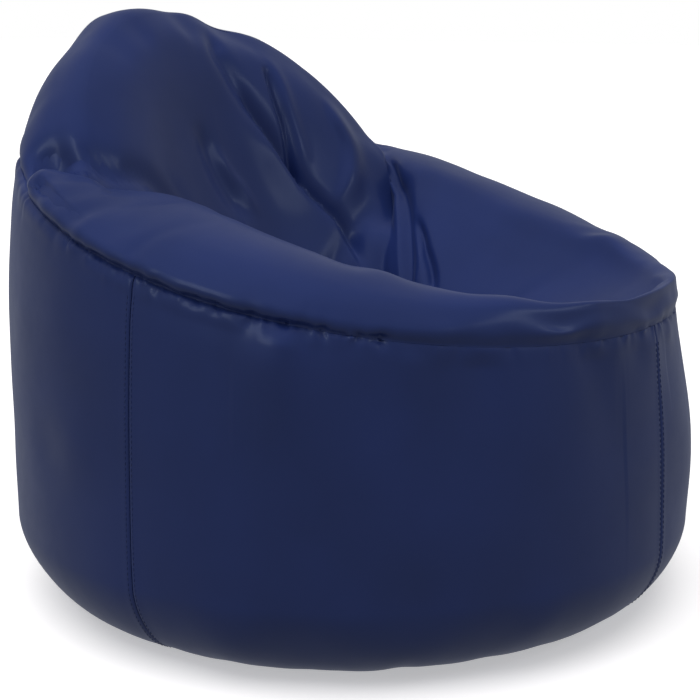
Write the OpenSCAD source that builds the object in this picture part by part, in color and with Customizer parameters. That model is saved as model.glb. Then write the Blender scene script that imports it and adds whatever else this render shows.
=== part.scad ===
// Bean bag chair: a round, bucket-shaped bag with low arms, a deep seat hollow and a raised
// backrest. The sitter faces -Y. The origin is on the floor, under the middle of the base.
// An azimuth of 0 is the front, 90 is the sitter's left arm (+X) and 180 is the back.
// Every layer of cloth is the same outline set further in: cover, then liner, then beads.

/* [Drum] */
// Widest radius of the drum
drum_r = 450; // [400:5:500]
// Radius of the flat base
base_r = 349; // [320:1:370]
// Height at which the rounded lower edge reaches the widest radius
belly_z = 105; // [80:5:140]
// Roundness of the lower edge, from an ellipse at 2 to a chamfer at 1
belly_power = 1.7; // [1.4:0.05:2]
// Radius of the rim seam, where the wall meets the top panel
rim_r = 433; // [415:1:445]
// Turn of the wall's four upright seams about the bag's axis, in degrees
wall_turn = 2; // [-6:1:6]

/* [Rim seam] */
// Height of the rim seam at the middle of an arm
seam_mid_z = 483; // [440:1:500]
// Rise of the rim seam from the middle of an arm towards the back
seam_tilt = 113; // [60:1:130]
// Extra height of the rim seam at the front and back
seam_curl = 14; // [0:1:20]
// Height at which the rim seam levels out behind the arms
seam_level_z = 567; // [560:1:590]
// How much lower the left arm has settled than the right one
arm_sag = 28; // [0:1:35]

/* [Arms] */
// Height of an arm's crest above the rim seam, averaged round the bag
crest_rise = 21; // [15:1:30]
// Distance of the crest inside the rim seam, averaged round the bag
crest_inset = 84; // [75:1:95]

/* [Backrest] */
// Rise of the rim seam to the backrest's peak
peak_rise = 190; // [160:1:195]
// Half of the angle over which the rim seam rises to the peak
peak_angle = 40; // [36:1:44]
// Height of the backrest's ridge
ridge_z = 753; // [740:1:765]
// Drop of the ridge from the peak to the arms
ridge_drop = 209; // [190:1:215]
// Angle from the back at which the backrest meets the arms
crease_angle = 58; // [54:1:62]
// Depth of the tuck between the backrest and an arm
crease_depth = 18; // [10:1:22]

/* [Seat] */
// Height of the lowest point of the seat hollow
seat_z = 270; // [240:5:300]
// Distance of that point in front of the middle
seat_forward = 40; // [0:5:60]

/* [Cloth] */
// Thickness of the faux leather cover
cover_t = 1.2; // [1:0.1:1.4]
// Thickness of the liner cloth
liner_t = 0.4; // [0.3:0.1:0.5]
// Clearance between one layer and the next
layer_gap = 2; // [1.8:0.1:2.4]

/* [Zips] */
// Length of each zip between its stops
zip_len = 500; // [400:10:540]
// Width of one zip tape
tape_w = 15; // [12:1:18]
// Width of one coil
coil_w = 2.8; // [2.4:0.1:3]
// Width of the gap in the base panel that shows the coils
zip_slot = 16; // [14:1:20]

/* [Hidden] */

NAVY = "#24365f";
LINING = "#e6e6e2";
BEADS = "#fbfbf7";
METAL = "#b9bcc0";
TAPE = "#1b2746";

column_step = 6;            // degrees between the columns of every surface
edge_rows = 6;              // rows of the wall on its rounded lower edge
wall_rows = 13;             // rows of the whole wall
top_rows = 16;              // rows of the top, from the rim in
seam_gap = 1.7;             // clearance between two pieces that are sewn together
panel_gap = 0.04;           // the same between two wall panels, in degrees
slope_step = 0.02;          // part of a row over which the wall's slope is taken

// Layers: how far each surface lies inside the outline of the cover
liner_out = cover_t + layer_gap;
liner_in = liner_out + liner_t;
fill_out = liner_in + layer_gap;

// Heights in a zip, from the bottom face of the panel that it is sewn to
lug_z = 0.5;
plate_z = 1.8;
plate_t = 0.8;
coil_z = 2.9;
coil_t = 1.6;
tape_z = 4.6;
tape_t = 0.5;
upper_plate_z = 5.4;
zip_top = upper_plate_z + plate_t;
coil_gap = 0.6;             // from the middle of the zip to a coil
slider_len = 14;
slider_flange_y = coil_gap + coil_w + 0.4;
slider_half_w = slider_flange_y + 0.8;
slider_post_t = 0.6;
stop_len = 3;
slider_rest = zip_len/2 - slider_len/2 - 1;
liner_z = zip_top + 1.2;    // bottom face of the liner
fill_z = 2*liner_z;         // bottom face of the beads, clear of the liner's zip
label_size = [45, 30, 0.3];

// ---- small helpers ----
function ease(x) = let(u = min(1, max(0, x))) u*u*(3 - 2*u);
function mix(p, q, k) = p + (q - p)*k;
function turned(a) = a > 180 ? a - 360 : a <= -180 ? a + 360 : a;
function from_back(a) = abs(180 - abs(turned(a)));
function bell(x, width) = exp(-pow(x/width, 2));
function flat(lists) = [for (l = lists) each l];

// ---- outline of the bag ----
// Height of the rim seam at an azimuth
function seam_z(a) =
    let(b = from_back(a),
        level = min(seam_mid_z - seam_tilt*cos(a) + seam_curl*cos(2*a), seam_level_z),
        sag = arm_sag*ease(sin(a))*ease((b - 50)/50))
    level - sag + peak_rise*max(0, 1 - sqrt(pow(b/peak_angle, 2) + 0.003));

// Outline of the wall at a row, as radius and height: a superellipse up to the belly, then a
// slight lean inwards up to the rim seam
function rim_at(a) = rim_r - 15*bell(from_back(a), 25);
function edge_start(bottom) = acos(pow(1 - bottom/belly_z, belly_power/2));
function edge_point(angle) =
    [base_r + (drum_r - base_r)*pow(max(0, sin(angle)), 2/belly_power),
     belly_z*(1 - pow(max(0, cos(angle)), 2/belly_power))];
function wall_point(row, a, bottom) =
    let(high = (row - edge_rows)/(wall_rows - edge_rows))
    row <= edge_rows
        ? edge_point(mix(edge_start(bottom), 90, row/edge_rows))
        : [drum_r - (drum_r - rim_at(a))*high*high,
           mix(belly_z, seam_z(a) - seam_gap, high)];

// Height of the backrest's ridge at an angle from the back
function ridge_height(b) = ridge_z - ridge_drop*pow(min(b, 60)/60, 2.1);

// Profile of the top panel over an arm, from the rim seam to the middle of the seat
function arm_profile(a) =
    let(s = seam_z(a), r = rim_at(a),
        w = max(30, crest_inset - 4*cos(a) - 58*cos(2*a)),
        h = max(12, crest_rise + 49*cos(a) - 29*cos(2*a)))
    [[r, s], [r - 4, s + 16], [r - 0.35*w, s + 0.62*h + 12], [r - w, s + h],
     [r - w - 45, s + h - 35], [(r - w)/2 + 10, 0.45*(s + h) + seat_z/2 + 10],
     [90, seat_z + 12], [0, seat_z]];

// Profile of the top panel over the backrest
function back_profile(a) =
    let(s = seam_z(a), r = rim_at(a), b = from_back(a), top = ridge_height(b))
    [[r, s], [r - 10, mix(s, top, 0.45)], [r - 36, mix(s, top, 0.86)], [r - 78, top - 2],
     [300, top - 85], [235, mix(470, 420, min(b, 60)/60)], [140, 315], [0, seat_z]];

// The two blended, with the tuck between them, which swings forward as it goes down
crease_swing = [0, 0, 0, 2, 6, 10, 12, 12];
crease_dip = [0, 0.15, 0.75, 1, 0.65, 0.2, 0, 0];
crease_push = [0, -2, 0, 4, 8, 4, 0, 0];
blend_width = [12, 12, 12, 12, 14, 20, 36, 40];
function profile(a) =
    let(arm = arm_profile(a), back = back_profile(a), b = from_back(a))
    [for (i = [0:len(arm) - 1])
        let(c = crease_angle + crease_swing[i], tuck = bell(b - c, 9))
        mix(arm[i], back[i], ease((c - b)/blend_width[i] + 0.5))
            + tuck*[crease_push[i], -crease_depth*crease_dip[i]]];

// A smooth curve through a list of points, at t from 0 to 1
function along(p, t) =
    let(n = len(p) - 1, i = min(n - 1, floor(t*n)), f = t*n - i,
        p0 = i > 0 ? p[i - 1] : 2*p[0] - p[1],
        p3 = i < n - 1 ? p[i + 2] : 2*p[n] - p[n - 1])
    0.5*(2*p[i] + (p[i + 1] - p0)*f + (2*p0 - 5*p[i] + 4*p[i + 1] - p3)*f*f
        + (3*p[i] - p0 - 3*p[i + 1] + p3)*f*f*f);

// A point of a profile, set in from its outline and turned to an azimuth
function set_in(p, slope, inset) = p - inset*[slope[1], -slope[0]]/norm(slope);
function placed(p, a, forward) = [p[0]*sin(a), -p[0]*cos(a) - forward, p[1]];

function wall_column(a, inset, bottom) =
    [for (row = [0:wall_rows])
        let(slope = wall_point(min(wall_rows, row + slope_step), a, bottom)
                - wall_point(max(0, row - slope_step), a, bottom))
        placed(set_in(wall_point(row, a, bottom), slope, inset), a, 0)];

function top_column(a, inset, rows) =
    let(p = profile(a))
    [for (i = [0:rows - 1])
        let(t = 0.002 + 0.96*i/(rows - 1),
            slope = along(p, t + 0.002) - along(p, t - 0.002))
        placed(set_in(along(p, t), slope, inset), a, seat_forward*ease(t/0.9))];

// ---- closed solids from columns of points ----
// The two sides of a sheet split their quads along the same diagonal, so that layers which
// lie close together don't cross
function quad(i, j, k, l) = [[i, j, k], [i, k, l]];

// A patch of cloth between an outer and an inner grid of columns
module patch(outer, inner) {
    m = len(outer);
    n = len(outer[0]);
    q = m*n;
    faces = [
        for (c = [0:m - 2], r = [0:n - 2])
            let(i = c*n + r)
            each concat(quad(i, i + 1, i + n + 1, i + n),
                quad(q + i, q + i + n, q + i + n + 1, q + i + 1)),
        for (c = [0:m - 2])
            let(i = c*n, k = i + n - 1)
            each concat(quad(i, i + n, q + i + n, q + i), quad(q + k, q + k + n, k + n, k)),
        for (r = [0:n - 2])
            let(k = (m - 1)*n + r)
            each concat(quad(q + r, q + r + 1, r + 1, r), quad(k, k + 1, q + k + 1, q + k))
    ];
    polyhedron(concat(flat(outer), flat(inner)), faces);
}

// A round sheet between an outer and an inner set of columns, closed over the middle
module round_sheet(outer, inner, outer_middle, inner_middle) {
    m = len(outer);
    n = len(outer[0]);
    q = m*n;
    faces = [
        for (c = [0:m - 1], r = [0:n - 2])
            let(i = c*n + r, k = ((c + 1) % m)*n + r)
            each concat(quad(i, i + 1, k + 1, k), quad(q + i, q + k, q + k + 1, q + i + 1)),
        for (c = [0:m - 1])
            let(i = c*n, k = ((c + 1) % m)*n, e = n - 1)
            each concat(quad(i, k, q + k, q + i),
                [[i + e, 2*q, k + e], [q + k + e, 2*q + 1, q + i + e]])
    ];
    polyhedron(concat(flat(outer), flat(inner), [outer_middle, inner_middle]), faces);
}

// A filled body from columns that run from its flat bottom to the middle of its top
module filled(columns, middle) {
    m = len(columns);
    n = len(columns[0]);
    faces = [
        [for (c = [0:m - 1]) c*n],
        for (c = [0:m - 1], r = [0:n - 2])
            let(i = c*n + r, k = ((c + 1) % m)*n + r)
            each quad(i, i + 1, k + 1, k),
        for (c = [0:m - 1])
            [c*n + n - 1, m*n, ((c + 1) % m)*n + n - 1]
    ];
    polyhedron(concat(flat(columns), [middle]), faces);
}

// ---- wall and top of the cover and of the liner ----
// A wall panel from one azimuth to another
module wall_panel(from, to, inset, thickness, bottom) {
    spread = (to - from - 2*panel_gap)/ceil((to - from)/column_step);
    angles = [for (i = [0:ceil((to - from)/column_step)]) from + panel_gap + i*spread];
    patch([for (a = angles) wall_column(a, inset, bottom)],
        [for (a = angles) wall_column(a, inset + thickness, bottom)]);
}

module top_sheet(inset, thickness) {
    angles = [for (a = [wall_turn:column_step:wall_turn + 359]) turned(a)];
    round_sheet([for (a = angles) top_column(a, inset, top_rows)],
        [for (a = angles) top_column(a, inset + thickness, top_rows)],
        [0, -seat_forward, seat_z - inset], [0, -seat_forward, seat_z - inset - thickness]);
}

module front_left_wall_panel() {
    color(NAVY) wall_panel(wall_turn, wall_turn + 90, 0, cover_t, 0);
}

module front_right_wall_panel() {
    color(NAVY) wall_panel(wall_turn - 90, wall_turn, 0, cover_t, 0);
}

module back_left_wall_panel() {
    color(NAVY) wall_panel(wall_turn + 90, wall_turn + 180, 0, cover_t, 0);
}

module back_right_wall_panel() {
    color(NAVY) wall_panel(wall_turn - 180, wall_turn - 90, 0, cover_t, 0);
}

module top_panel() {
    color(NAVY) top_sheet(0, cover_t);
}

module liner_wall_left() {
    color(LINING) wall_panel(wall_turn, wall_turn + 180, liner_out, liner_t, liner_z);
}

module liner_wall_right() {
    color(LINING) wall_panel(wall_turn - 180, wall_turn, liner_out, liner_t, liner_z);
}

module liner_top() {
    color(LINING) top_sheet(liner_out, liner_t);
}

module bead_fill() {
    angles = [for (a = [wall_turn:column_step:wall_turn + 359]) turned(a)];
    color(BEADS)
    filled([for (a = angles)
            concat(wall_column(a, fill_out, fill_z),
                [for (i = [1:top_rows - 1]) top_column(a, fill_out, top_rows)[i]])],
        [0, -seat_forward, seat_z - fill_out]);
}

// ---- base panels, each half of a disc with a hem along the zip ----
// Drawn for the half at +Y, with the zip along X
module half_base(radius, thickness) {
    hem_len = zip_len + 30;
    difference() {
        union() {
            cylinder(r = radius, h = thickness, $fn = 180);
            translate([-hem_len/2, 0, 0])
                cube([hem_len, zip_slot/2 + 8, tape_z - 0.1]);
        }
        translate([-radius - 1, -2*radius + seam_gap/2, -1])
            cube([2*radius + 2, 2*radius, tape_z + 2]);
        translate([-hem_len/2 + 8, -1, -1])
            cube([hem_len - 16, zip_slot/2 + 1, tape_z + 2]);
    }
}

liner_base_r = edge_point(edge_start(liner_z))[0] - 2*liner_in;

module base_panel_front() {
    color(NAVY) mirror([0, 1, 0]) half_base(base_r - seam_gap, cover_t);
}

module base_panel_back() {
    color(NAVY) half_base(base_r - seam_gap, cover_t);
}

module liner_base_left() {
    color(LINING) translate([0, 0, liner_z]) rotate([0, 0, -90])
        half_base(liner_base_r, liner_t);
}

module liner_base_right() {
    color(LINING) translate([0, 0, liner_z]) rotate([0, 0, 90])
        half_base(liner_base_r, liner_t);
}

// ---- zips, drawn along X with one side at +Y ----
module tape() {
    translate([-zip_len/2 - 12, coil_gap, tape_z])
        cube([zip_len + 24, tape_w, tape_t]);
}

module coil() {
    translate([-zip_len/2 + stop_len, coil_gap, coil_z])
        cube([zip_len - 2*stop_len, coil_w, coil_t]);
}

// The slider: two plates on a wedge-shaped post, guides beside the coils, and a low lug in
// place of a pull, so that it opens only with a tool
module slider_body() {
    module plate(z) {
        intersection() {
            translate([-slider_len/2, -slider_half_w, z])
                cube([slider_len, 2*slider_half_w, plate_t]);
            translate([0, 0, z])
                cylinder(r = slider_len/2 + 0.6, h = plate_t, $fn = 48);
        }
    }
    plate(plate_z);
    plate(upper_plate_z);
    translate([1, -slider_post_t/2, plate_z])
        cube([5, slider_post_t, upper_plate_z - plate_z + plate_t/2]);
    for (side = [0, 1])
        mirror([0, side, 0]) {
            translate([-slider_len/2 + 2, slider_flange_y, plate_z])
                cube([slider_len - 4, 0.8, tape_z - 0.35 - plate_z]);
        }
    for (x = [-4, 2.6])
        translate([x, -1.1, lug_z])
            cube([1.4, 2.2, plate_z - lug_z + plate_t/2]);
    translate([-4, -1.1, lug_z])
        cube([8, 2.2, 0.5]);
}

// Two small clamps, one on the end of each coil
module top_stops() {
    for (side = [0, 1])
        mirror([0, side, 0])
            translate([zip_len/2 - stop_len + 0.2, coil_gap, coil_z - 0.2])
                cube([stop_len - 0.4, coil_w + 0.4, coil_t + 0.2]);
}

// One box clamp across both coils at the other end
module bottom_stop() {
    translate([-zip_len/2 + 0.2, -coil_gap - coil_w, coil_z - 0.2])
        cube([stop_len - 0.4, 2*(coil_gap + coil_w), coil_t + 0.2]);
}

module liner_zip_place() {
    translate([0, 0, liner_z]) rotate([0, 0, 90]) children();
}

module zip_tape_front() {
    color(TAPE) mirror([0, 1, 0]) tape();
}

module zip_tape_back() {
    color(TAPE) tape();
}

module zip_coil_front() {
    color(TAPE) mirror([0, 1, 0]) coil();
}

module zip_coil_back() {
    color(TAPE) coil();
}

module zip_slider() {
    color(METAL) translate([slider_rest - stop_len, 0, 0]) slider_body();
}

module zip_top_stops() {
    color(METAL) top_stops();
}

module zip_bottom_stop() {
    color(METAL) bottom_stop();
}

module liner_zip_tape_left() {
    color(LINING) liner_zip_place() mirror([0, 1, 0]) tape();
}

module liner_zip_tape_right() {
    color(LINING) liner_zip_place() tape();
}

module liner_zip_coil_left() {
    color(LINING) liner_zip_place() mirror([0, 1, 0]) coil();
}

module liner_zip_coil_right() {
    color(LINING) liner_zip_place() coil();
}

module liner_zip_slider() {
    color(METAL) liner_zip_place() translate([slider_rest - stop_len, 0, 0]) slider_body();
}

module liner_zip_top_stops() {
    color(METAL) liner_zip_place() top_stops();
}

module liner_zip_bottom_stop() {
    color(METAL) liner_zip_place() bottom_stop();
}

// Blank label, sewn inside the cover beside the zip
module care_label() {
    color("white") translate([60, 40, cover_t + 0.3]) cube(label_size);
}

front_left_wall_panel();
front_right_wall_panel();
back_left_wall_panel();
back_right_wall_panel();
top_panel();
base_panel_front();
base_panel_back();
zip_tape_front();
zip_tape_back();
zip_coil_front();
zip_coil_back();
zip_slider();
zip_top_stops();
zip_bottom_stop();
care_label();
liner_wall_left();
liner_wall_right();
liner_top();
liner_base_left();
liner_base_right();
liner_zip_tape_left();
liner_zip_tape_right();
liner_zip_coil_left();
liner_zip_coil_right();
liner_zip_slider();
liner_zip_top_stops();
liner_zip_bottom_stop();
bead_fill();
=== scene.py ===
# A bean bag chair in navy faux leather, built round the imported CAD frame.
# The sitter faces -Y. Azimuth 0 is the front, 90 the sitter's left arm (+X), 180 the back.
# The cover is worked out on a fine grid: the CAD outline, its big folds, the movement of a cloth
# simulation of the plain outline, then seams, puckers and panel edges. The panels are cut from it.
import math
import random

import bpy
import numpy as np
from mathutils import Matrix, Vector


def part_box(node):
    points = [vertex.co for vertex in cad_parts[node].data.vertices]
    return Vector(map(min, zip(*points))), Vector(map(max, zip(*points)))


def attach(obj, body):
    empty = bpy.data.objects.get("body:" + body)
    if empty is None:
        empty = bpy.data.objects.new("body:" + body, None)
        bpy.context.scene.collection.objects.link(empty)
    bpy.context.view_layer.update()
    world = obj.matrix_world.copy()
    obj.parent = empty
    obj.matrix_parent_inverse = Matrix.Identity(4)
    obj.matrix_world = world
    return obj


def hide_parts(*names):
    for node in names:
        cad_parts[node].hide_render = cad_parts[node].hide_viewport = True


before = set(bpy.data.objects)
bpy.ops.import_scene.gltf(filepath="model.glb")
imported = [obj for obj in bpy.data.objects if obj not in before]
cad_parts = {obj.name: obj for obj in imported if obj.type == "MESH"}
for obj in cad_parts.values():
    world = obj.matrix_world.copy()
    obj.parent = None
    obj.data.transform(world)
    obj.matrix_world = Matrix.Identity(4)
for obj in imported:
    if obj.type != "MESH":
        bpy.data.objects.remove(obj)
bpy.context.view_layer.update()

# ---- outline of the bag, the same as the CAD design's, in metres ----
DRUM_R = 0.450
BASE_R = 0.349
BELLY_Z = 0.105
BELLY_POWER = 1.7
RIM_R = 0.433
SEAT_Z = 0.270
SEAT_FORWARD = 0.040
CREASE_ANGLE = 58
WALL_TURN = 2
COVER_T = 0.0012


def ease(x):
    x = np.clip(x, 0, 1)
    return x * x * (3 - 2 * x)


def mix(p, q, k):
    return p + (q - p) * k


def bell(x, width):
    return np.exp(-(x / width) ** 2)


def cosd(a):
    return np.cos(np.radians(a))


def sind(a):
    return np.sin(np.radians(a))


def from_back(a):
    turned = (np.asarray(a, float) + 180) % 360 - 180
    return np.abs(180 - np.abs(turned))


def seam_z(a):
    """Height of the rim seam at an azimuth."""
    b = from_back(a)
    level = np.minimum(0.483 - 0.113 * cosd(a) + 0.014 * cosd(2 * a), 0.567)
    sag = 0.028 * ease(sind(a)) * ease((b - 50) / 50)
    return level - sag + 0.190 * np.maximum(0, 1 - np.sqrt((b / 40) ** 2 + 0.003))


def rim_radius(a):
    return RIM_R - 0.015 * bell(from_back(a), 25)


def ridge_height(b):
    return 0.753 - 0.209 * (np.minimum(b, 60) / 60) ** 2.1


def wall_surface(a, u):
    """Points of the wall: u runs 0 to 1 over the rounded lower edge, then to 2 at the rim."""
    a = np.asarray(a, float)[None, :]
    u = np.asarray(u, float)[:, None]
    turn = np.clip(u, 0, 1) * math.pi / 2
    low_r = BASE_R + (DRUM_R - BASE_R) * np.sin(turn) ** (2 / BELLY_POWER)
    low_z = BELLY_Z * (1 - np.maximum(0, np.cos(turn)) ** (2 / BELLY_POWER))
    high = np.clip(u - 1, 0, 1)
    r = np.where(u <= 1, low_r + 0 * a, DRUM_R - (DRUM_R - rim_radius(a)) * high * high)
    z = np.where(u <= 1, low_z + 0 * a, mix(BELLY_Z, seam_z(a), high))
    return np.stack([r * sind(a), -r * cosd(a), z], -1)


def top_profile(a):
    """Control points (radius, height) of the top panel, from the rim to the seat's middle."""
    s, r, b = seam_z(a), rim_radius(a), from_back(a)
    flat = 0 * b
    w = np.maximum(0.030, 0.084 - 0.004 * cosd(a) - 0.058 * cosd(2 * a))
    h = np.maximum(0.012, 0.021 + 0.049 * cosd(a) - 0.029 * cosd(2 * a))
    ridge = ridge_height(b)
    arm = [(r, s), (r - 0.004, s + 0.016), (r - 0.35 * w, s + 0.62 * h + 0.012),
           (r - w, s + h), (r - w - 0.045, s + h - 0.035),
           ((r - w) / 2 + 0.010, 0.45 * (s + h) + SEAT_Z / 2 + 0.010),
           (0.090 + flat, SEAT_Z + 0.012 + flat), (flat, SEAT_Z + flat)]
    back = [(r, s), (r - 0.010, mix(s, ridge, 0.45)), (r - 0.036, mix(s, ridge, 0.86)),
            (r - 0.078, ridge - 0.002), (0.300 + flat, ridge - 0.085),
            (0.235 + flat, mix(0.470, 0.420, np.minimum(b, 60) / 60)),
            (0.140 + flat, 0.315 + flat), (flat, SEAT_Z + flat)]
    swing = (0, 0, 0, 2, 6, 10, 12, 12)
    dip = (0, 0.15, 0.75, 1, 0.65, 0.2, 0, 0)
    push = (0, -0.002, 0, 0.004, 0.008, 0.004, 0, 0)
    width = (12, 12, 12, 12, 14, 20, 36, 40)
    points = []
    for i in range(8):
        c = CREASE_ANGLE + swing[i]
        tuck = bell(b - c, 9)
        k = ease((c - b) / width[i] + 0.5)
        points.append((mix(arm[i][0], back[i][0], k) + tuck * push[i],
                       mix(arm[i][1], back[i][1], k) - tuck * 0.018 * dip[i]))
    return np.array(points).transpose(1, 0, 2)


def along(p, t):
    """A smooth curve through the rows of p, at t from 0 to 1."""
    last = p.shape[0] - 1
    x = np.asarray(t, float) * last
    i = np.clip(np.floor(x).astype(int), 0, last - 1)
    f = (x - i).reshape((-1,) + (1,) * (p.ndim - 1))
    q = np.concatenate([[2 * p[0] - p[1]], p, [2 * p[-1] - p[-2]]])
    p0, p1, p2, p3 = q[i], q[i + 1], q[i + 2], q[i + 3]
    return 0.5 * (2 * p1 + (p2 - p0) * f + (2 * p0 - 5 * p1 + 4 * p2 - p3) * f ** 2
                  + (3 * p1 - p0 - 3 * p2 + p3) * f ** 3)


def top_surface(a, t):
    radii, heights = top_profile(a)
    r, z = along(radii, t), along(heights, t)
    forward = SEAT_FORWARD * ease(np.asarray(t)[:, None] / 0.9)
    return np.stack([r * sind(a)[None, :], -r * cosd(a)[None, :] - forward, z], -1)


# ---- materials ----
def principled(name):
    mat = bpy.data.materials.new(name)
    mat.use_nodes = True
    return mat, mat.node_tree.nodes, mat.node_tree.links, mat.node_tree.nodes["Principled BSDF"]


def texture(nodes, links, kind, scale, **sockets):
    """A procedural texture in the object's own metres."""
    place = nodes.get("place") or nodes.new("ShaderNodeTexCoord")
    place.name = "place"
    node = nodes.new("ShaderNodeTex" + kind)
    node.inputs["Scale"].default_value = scale
    for name, value in sockets.items():
        node.inputs[name].default_value = value
    links.new(place.outputs["Object"], node.inputs["Vector"])
    return node


def ramp(nodes, links, source, stops):
    node = nodes.new("ShaderNodeValToRGB")
    for element, (at, colour) in zip(node.color_ramp.elements, stops):
        element.position = at
        element.color = (*colour, 1)
    links.new(source, node.inputs["Fac"])
    return node.outputs["Color"]


def spread(nodes, links, source, low, high):
    node = nodes.new("ShaderNodeMapRange")
    node.inputs["To Min"].default_value = low
    node.inputs["To Max"].default_value = high
    links.new(source, node.inputs["Value"])
    return node.outputs["Result"]


def bump(nodes, links, height, strength, distance, under=None):
    node = nodes.new("ShaderNodeBump")
    node.inputs["Strength"].default_value = strength
    node.inputs["Distance"].default_value = distance
    links.new(height, node.inputs["Height"])
    if under is not None:
        links.new(under, node.inputs["Normal"])
    return node.outputs["Normal"]


def faux_leather():
    """Satin navy faux leather: cloudy colour and gloss, pebble grain and fine pores."""
    mat, nodes, links, shader = principled("navy_faux_leather")
    cloud = texture(nodes, links, "Noise", 6, Detail=4).outputs["Fac"]
    smudge = texture(nodes, links, "Noise", 38, Detail=3).outputs["Fac"]
    grain = texture(nodes, links, "Voronoi", 560)
    grain.feature = "DISTANCE_TO_EDGE"
    pores = texture(nodes, links, "Noise", 1400, Detail=3).outputs["Fac"]
    colour = ramp(nodes, links, cloud, [(0.30, (0.0088, 0.0178, 0.082)),
                                        (0.75, (0.0112, 0.0222, 0.104))])
    links.new(colour, shader.inputs["Base Color"])
    links.new(spread(nodes, links, smudge, 0.40, 0.52), shader.inputs["Roughness"])
    normal = bump(nodes, links, grain.outputs["Distance"], 0.22, 0.0002)
    normal = bump(nodes, links, pores, 0.12, 0.0001, normal)
    links.new(normal, shader.inputs["Normal"])
    shader.inputs["Specular IOR Level"].default_value = 0.38
    shader.inputs["Specular Tint"].default_value = (0.62, 0.74, 1.0, 1)
    shader.inputs["Coat Weight"].default_value = 0.22
    shader.inputs["Coat Roughness"].default_value = 0.20
    shader.inputs["Sheen Weight"].default_value = 0.08
    shader.inputs["Sheen Roughness"].default_value = 0.4
    shader.inputs["Sheen Tint"].default_value = (0.45, 0.55, 1.0, 1)
    return mat


def woven(name, dark, light, threads, roughness, rise):
    """Plain woven cloth: two sets of threads at right angles, with painted shade darkening the
    gaps between the threads.
    """
    mat, nodes, links, shader = principled(name)
    sets = []
    for direction in ("X", "Y"):
        wave = texture(nodes, links, "Wave", threads, Distortion=0.4)
        wave.bands_direction = direction
        sets.append(wave.outputs["Fac"])
    weave = nodes.new("ShaderNodeMath")
    weave.operation = "MAXIMUM"
    links.new(sets[0], weave.inputs[0])
    links.new(sets[1], weave.inputs[1])
    fuzz = texture(nodes, links, "Noise", 2400, Detail=2).outputs["Fac"]
    cloud = texture(nodes, links, "Noise", 14, Detail=3).outputs["Fac"]
    # painted shade: the colour runs from dark in the gaps between threads to light on their crests
    links.new(ramp(nodes, links, weave.outputs[0], [(0.2, dark), (0.9, light)]),
              shader.inputs["Base Color"])
    links.new(spread(nodes, links, cloud, roughness - 0.06, roughness + 0.06),
              shader.inputs["Roughness"])
    normal = bump(nodes, links, weave.outputs[0], 0.5, rise)
    links.new(bump(nodes, links, fuzz, 0.2, rise / 2, normal), shader.inputs["Normal"])
    shader.inputs["Sheen Weight"].default_value = 0.15
    return mat


def twisted_thread(name, dark, light):
    """Polyester thread or coil: a tight diagonal twist with a slight gloss."""
    mat, nodes, links, shader = principled(name)
    twist = texture(nodes, links, "Wave", 420, Distortion=1.0)
    twist.bands_direction = "DIAGONAL"
    cloud = texture(nodes, links, "Noise", 60, Detail=2).outputs["Fac"]
    links.new(ramp(nodes, links, cloud, [(0.3, dark), (0.7, light)]), shader.inputs["Base Color"])
    links.new(spread(nodes, links, twist.outputs["Fac"], 0.38, 0.55), shader.inputs["Roughness"])
    links.new(bump(nodes, links, twist.outputs["Fac"], 0.35, 0.0001), shader.inputs["Normal"])
    return mat


def plated_metal():
    """Dull nickel plate with fine scratches."""
    mat, nodes, links, shader = principled("nickel_plate")
    scratch = texture(nodes, links, "Noise", 700, Detail=5, Distortion=1.5).outputs["Fac"]
    tarnish = texture(nodes, links, "Noise", 90, Detail=3).outputs["Fac"]
    links.new(ramp(nodes, links, tarnish, [(0.35, (0.42, 0.42, 0.43)), (0.7, (0.60, 0.60, 0.61))]),
              shader.inputs["Base Color"])
    links.new(spread(nodes, links, scratch, 0.24, 0.42), shader.inputs["Roughness"])
    links.new(bump(nodes, links, scratch, 0.1, 0.0001), shader.inputs["Normal"])
    shader.inputs["Metallic"].default_value = 1
    return mat


def bead_mass():
    """White foam beads, 3 to 5 mm across, pressed together; their colour greys towards each bead's
    edge as painted shade in the gaps between them.
    """
    mat, nodes, links, shader = principled("foam_beads")
    beads = texture(nodes, links, "Voronoi", 260, Randomness=0.85)
    skin = texture(nodes, links, "Voronoi", 2200)
    # painted shade: the white beads turn grey towards the edges of their cells, where the gaps
    # between beads lie
    links.new(ramp(nodes, links, beads.outputs["Distance"],
                   [(0.25, (0.88, 0.88, 0.86)), (0.75, (0.42, 0.42, 0.41))]),
              shader.inputs["Base Color"])
    links.new(spread(nodes, links, skin.outputs["Distance"], 0.5, 0.7), shader.inputs["Roughness"])
    down = nodes.new("ShaderNodeMath")
    down.operation = "SUBTRACT"
    down.inputs[0].default_value = 1
    links.new(beads.outputs["Distance"], down.inputs[1])
    normal = bump(nodes, links, down.outputs[0], 1.0, 0.0016)
    links.new(bump(nodes, links, skin.outputs["Distance"], 0.3, 0.0001, normal),
              shader.inputs["Normal"])
    return mat


def satin_label():
    """White satin ribbon with a faint warp."""
    mat, nodes, links, shader = principled("satin_ribbon")
    warp = texture(nodes, links, "Wave", 900, Distortion=0.2)
    cloud = texture(nodes, links, "Noise", 120, Detail=2).outputs["Fac"]
    links.new(ramp(nodes, links, cloud, [(0.3, (0.78, 0.78, 0.76)), (0.7, (0.86, 0.86, 0.85))]),
              shader.inputs["Base Color"])
    links.new(spread(nodes, links, warp.outputs["Fac"], 0.3, 0.45), shader.inputs["Roughness"])
    links.new(bump(nodes, links, warp.outputs["Fac"], 0.3, 0.0001), shader.inputs["Normal"])
    return mat


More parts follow.
